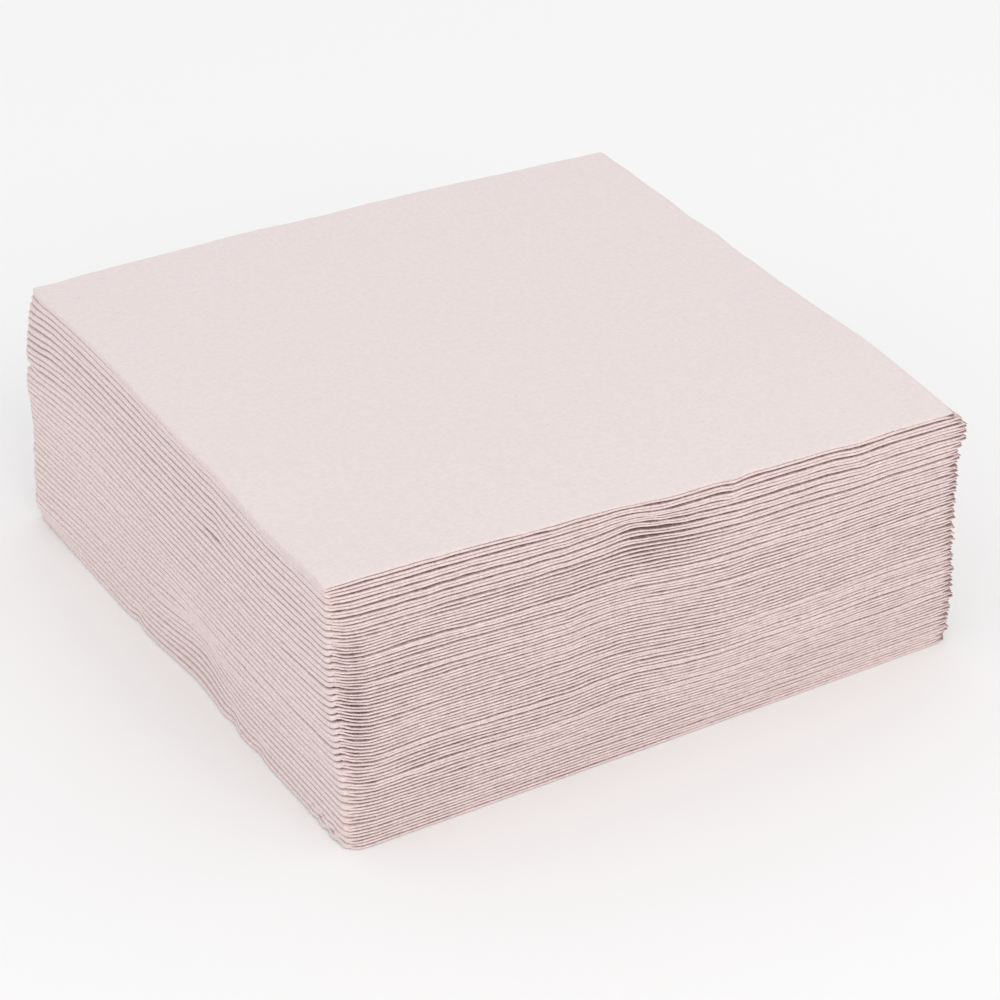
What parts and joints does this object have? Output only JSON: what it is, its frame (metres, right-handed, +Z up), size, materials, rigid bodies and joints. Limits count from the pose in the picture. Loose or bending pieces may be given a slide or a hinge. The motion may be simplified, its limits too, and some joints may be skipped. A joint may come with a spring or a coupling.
{
  "type": "stack of paper napkins",
  "caption": "Square stack of plain blush-pink paper napkins, each folded in quarters, with pressed creases at the front and left and layered cut edges behind.",
  "frame": {"origin": "centre of the stack's footprint, on the surface that it rests on", "axes": "+Z up through the stack; the first, double creases face -Y, and the second, round creases face -X"},
  "size_m": [0.1702, 0.1702, 0.0691],
  "materials": {
    "napkin_paper": "soft matte three-ply tissue, pale blush pink, with a fine crepe"
  },
  "bodies": {
    "root": {"napkin_01": "napkin_paper", "napkin_02": "napkin_paper", "napkin_03": "napkin_paper", "napkin_04": "napkin_paper", "napkin_05": "napkin_paper", "napkin_06": "napkin_paper", "napkin_07": "napkin_paper", "napkin_08": "napkin_paper", "napkin_09": "napkin_paper", "napkin_10": "napkin_paper", "napkin_11": "napkin_paper", "napkin_12": "napkin_paper", "napkin_13": "napkin_paper", "napkin_14": "napkin_paper", "napkin_15": "napkin_paper", "napkin_16": "napkin_paper", "napkin_17": "napkin_paper", "napkin_18": "napkin_paper", "napkin_19": "napkin_paper", "napkin_20": "napkin_paper", "napkin_21": "napkin_paper", "napkin_22": "napkin_paper", "napkin_23": "napkin_paper", "napkin_24": "napkin_paper", "napkin_25": "napkin_paper", "napkin_26": "napkin_paper", "napkin_27": "napkin_paper", "napkin_28": "napkin_paper", "napkin_29": "napkin_paper", "napkin_30": "napkin_paper", "napkin_31": "napkin_paper", "napkin_32": "napkin_paper", "napkin_33": "napkin_paper", "napkin_34": "napkin_paper", "napkin_35": "napkin_paper", "napkin_36": "napkin_paper", "napkin_37": "napkin_paper", "napkin_38": "napkin_paper", "napkin_39": "napkin_paper", "napkin_40": "napkin_paper"}
  },
  "joints": []
}
